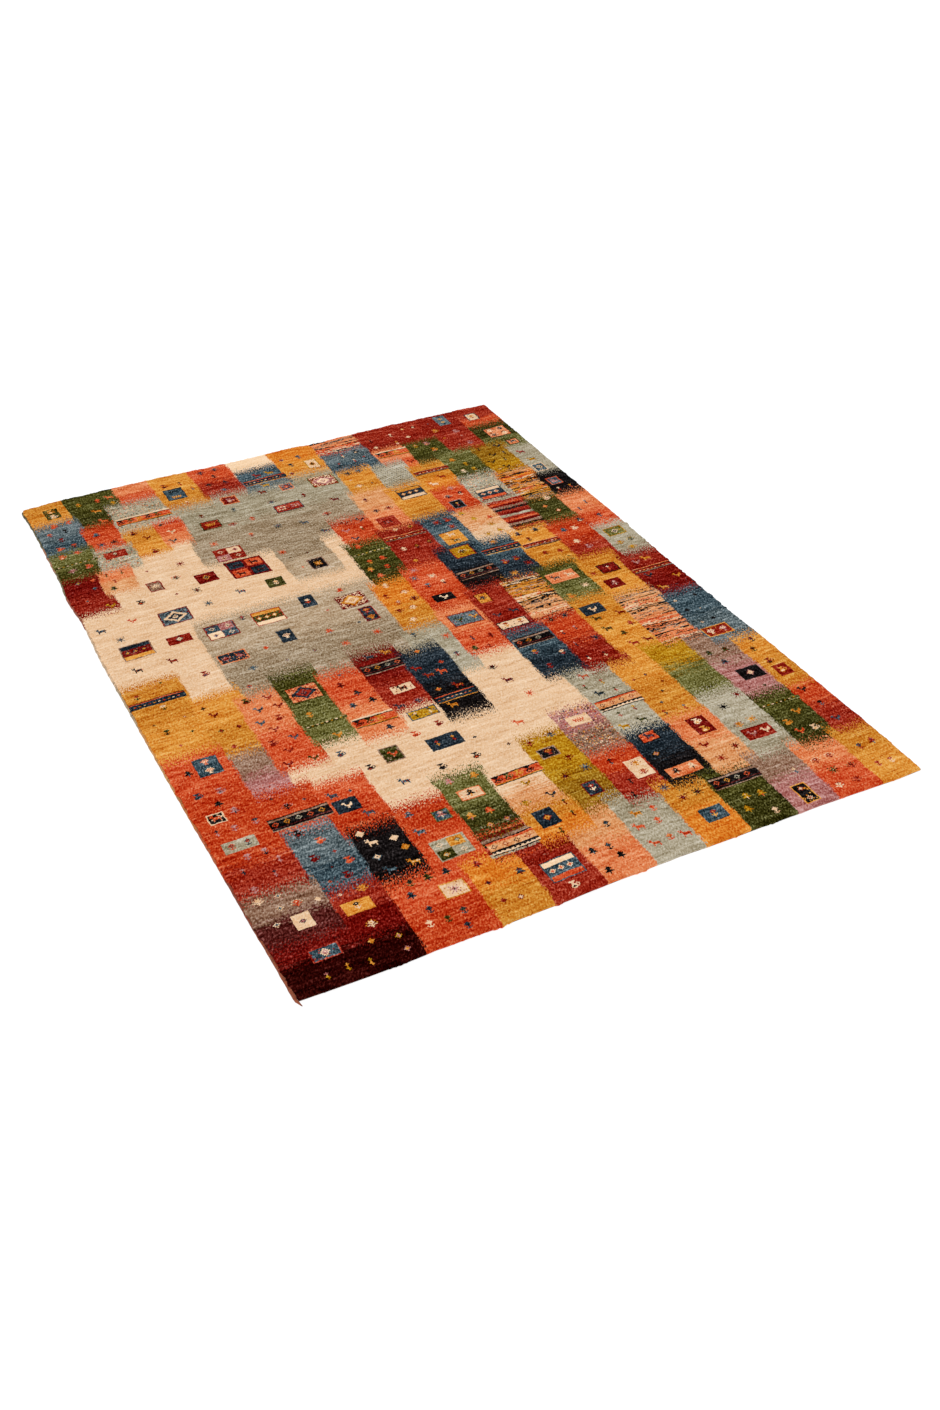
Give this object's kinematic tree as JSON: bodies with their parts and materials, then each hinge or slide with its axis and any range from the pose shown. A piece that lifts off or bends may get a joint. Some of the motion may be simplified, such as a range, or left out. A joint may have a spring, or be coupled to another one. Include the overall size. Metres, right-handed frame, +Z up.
{
  "type": "gabbeh rug",
  "caption": "Flat hand-knotted wool rug with a dense pile in a patchwork of warm and dark fields, overcast side cords and turned-under ends.",
  "frame": {"origin": "on the floor under the middle of the rug's bounding box", "axes": "+Z up out of the pile, +Y along the warp to the far short end, +X along the wefts to the right long side"},
  "size_m": [1.7344, 2.4024, 0.0128],
  "materials": {
    "pile": "dense clipped wool pile, matt, in many dyed colours",
    "selvedge": "wool yarn overcast round the side cord, matt"
  },
  "bodies": {
    "root": {"knotted_pile": "pile", "selvedge_left": "selvedge", "selvedge_right": "selvedge"}
  },
  "joints": []
}
